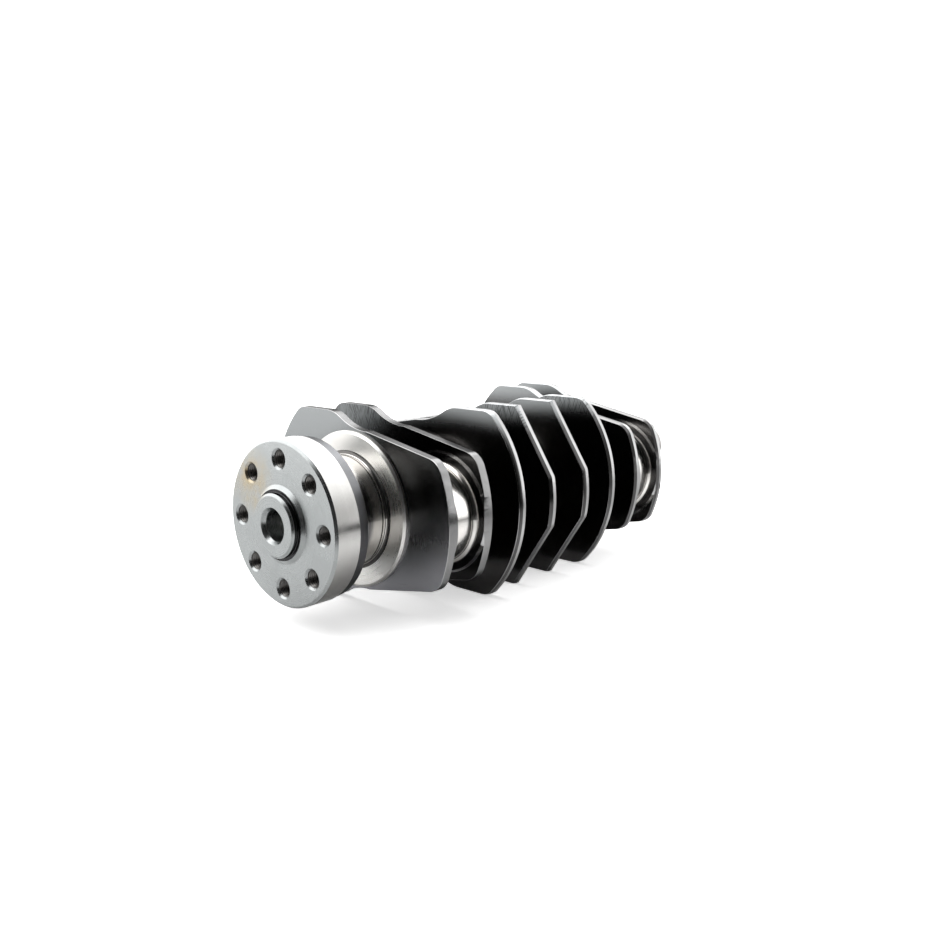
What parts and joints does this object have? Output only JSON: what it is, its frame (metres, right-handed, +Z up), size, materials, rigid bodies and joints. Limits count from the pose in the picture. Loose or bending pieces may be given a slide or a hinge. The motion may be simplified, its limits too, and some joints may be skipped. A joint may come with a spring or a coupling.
{
  "type": "crankshaft",
  "caption": "Forged steel crankshaft for a flat four-cylinder engine, with flywheel flange, thin webs, trimmed counterweights and a keyed nose.",
  "frame": {"origin": "centre of the flywheel bolt circle, on the flange's mounting face", "axes": "+Y along the crank axis from the flywheel face to the nose, +X towards crankpins 1 and 4, +Z up with the crank lying on its counterweight flats"},
  "size_m": [0.142, 0.3492, 0.104],
  "materials": {
    "turned_steel": "turned, satin",
    "ground_steel": "ground and polished",
    "web_steel": "dark satin faces with bright turned edges",
    "key_steel": "drawn, satin"
  },
  "bodies": {
    "root": {"flywheel_spigot": "turned_steel", "flywheel_flange": "turned_steel", "thrust_collar": "ground_steel", "main_journal_5": "ground_steel", "main_journal_4": "ground_steel", "main_journal_3": "ground_steel", "main_journal_2": "ground_steel", "main_journal_1": "ground_steel", "crankpin_4": "ground_steel", "crankpin_3": "ground_steel", "crankpin_2": "ground_steel", "crankpin_1": "ground_steel", "web_8": "web_steel", "web_7": "web_steel", "web_6": "web_steel", "web_5": "web_steel", "web_4": "web_steel", "web_3": "web_steel", "web_2": "web_steel", "web_1": "web_steel", "oil_pump_drive": "turned_steel", "front_seal_journal": "ground_steel", "sprocket_seat": "turned_steel", "pulley_seat": "turned_steel", "sprocket_key": "key_steel"}
  },
  "joints": []
}
